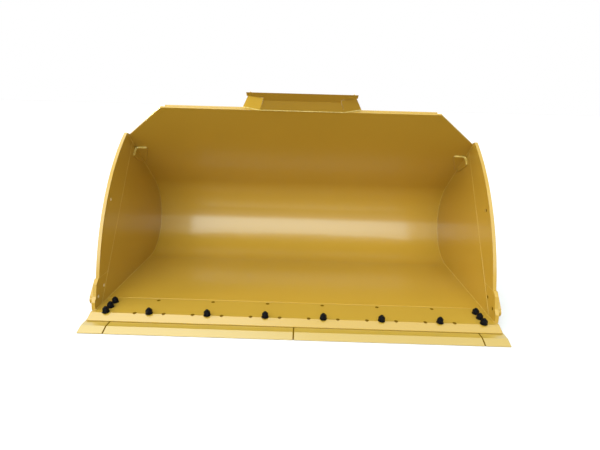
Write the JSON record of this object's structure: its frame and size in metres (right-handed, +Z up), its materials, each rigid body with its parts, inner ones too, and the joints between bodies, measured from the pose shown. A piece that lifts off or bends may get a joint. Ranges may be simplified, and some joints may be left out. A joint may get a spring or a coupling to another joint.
{
  "type": "wheel loader bucket",
  "caption": "Welded digging bucket with a curved back, side plates, bolt-on cutting edge, spill guard and rear hinge ears.",
  "frame": {"origin": "centre of the bucket's underside, level with the ground it stands on", "axes": "+X across the bucket, -Y out of the open mouth, +Z up"},
  "size_m": [2.91, 1.821, 1.5667],
  "materials": {
    "yellow_paint": "semi-gloss ochre yellow enamel",
    "edge_paint": "semi-gloss yellow enamel on the wear edges",
    "black_fastener": "black phosphate and oil",
    "bush_steel": "machined and greased"
  },
  "bodies": {
    "root": {"base_edge": "yellow_paint", "corner_guard_left": "yellow_paint", "corner_guard_right": "yellow_paint", "corner_gusset_left": "yellow_paint", "corner_gusset_right": "yellow_paint", "corner_toe_left": "yellow_paint", "corner_toe_right": "yellow_paint", "cutting_edge_left": "edge_paint", "cutting_edge_right": "edge_paint", "end_bit_left": "edge_paint", "end_bit_right": "edge_paint", "flange_nut_01": "black_fastener", "flange_nut_02": "black_fastener", "flange_nut_03": "black_fastener", "flange_nut_04": "black_fastener", "flange_nut_05": "black_fastener", "flange_nut_06": "black_fastener", "flange_nut_07": "black_fastener", "flange_nut_08": "black_fastener", "flange_nut_09": "black_fastener", "flange_nut_10": "black_fastener", "flange_nut_11": "black_fastener", "flange_nut_12": "black_fastener", "floor_runner_1": "yellow_paint", "floor_runner_2": "yellow_paint", "floor_runner_3": "yellow_paint", "lift_bush_left_inner": "bush_steel", "lift_bush_left_outer": "bush_steel", "lift_bush_right_inner": "bush_steel", "lift_bush_right_outer": "bush_steel", "lift_ear_left_inner": "yellow_paint", "lift_ear_left_outer": "yellow_paint", "lift_ear_right_inner": "yellow_paint", "lift_ear_right_outer": "yellow_paint", "plow_bolt_01": "black_fastener", "plow_bolt_02": "black_fastener", "plow_bolt_03": "black_fastener", "plow_bolt_04": "black_fastener", "plow_bolt_05": "black_fastener", "plow_bolt_06": "black_fastener", "plow_bolt_07": "black_fastener", "plow_bolt_08": "black_fastener", "plow_bolt_09": "black_fastener", "plow_bolt_10": "black_fastener", "plow_bolt_11": "black_fastener", "plow_bolt_12": "black_fastener", "rear_stiffener": "yellow_paint", "side_bar_left": "yellow_paint", "side_bar_right": "yellow_paint", "side_plate_left": "yellow_paint", "side_plate_right": "yellow_paint", "spill_guard_plate": "yellow_paint", "spill_guard_wing_left": "yellow_paint", "spill_guard_wing_right": "yellow_paint", "tilt_bush_left": "bush_steel", "tilt_bush_right": "bush_steel", "tilt_ear_left": "yellow_paint", "tilt_ear_right": "yellow_paint", "top_edge_bar": "yellow_paint", "wrapper": "yellow_paint"}
  },
  "joints": []
}
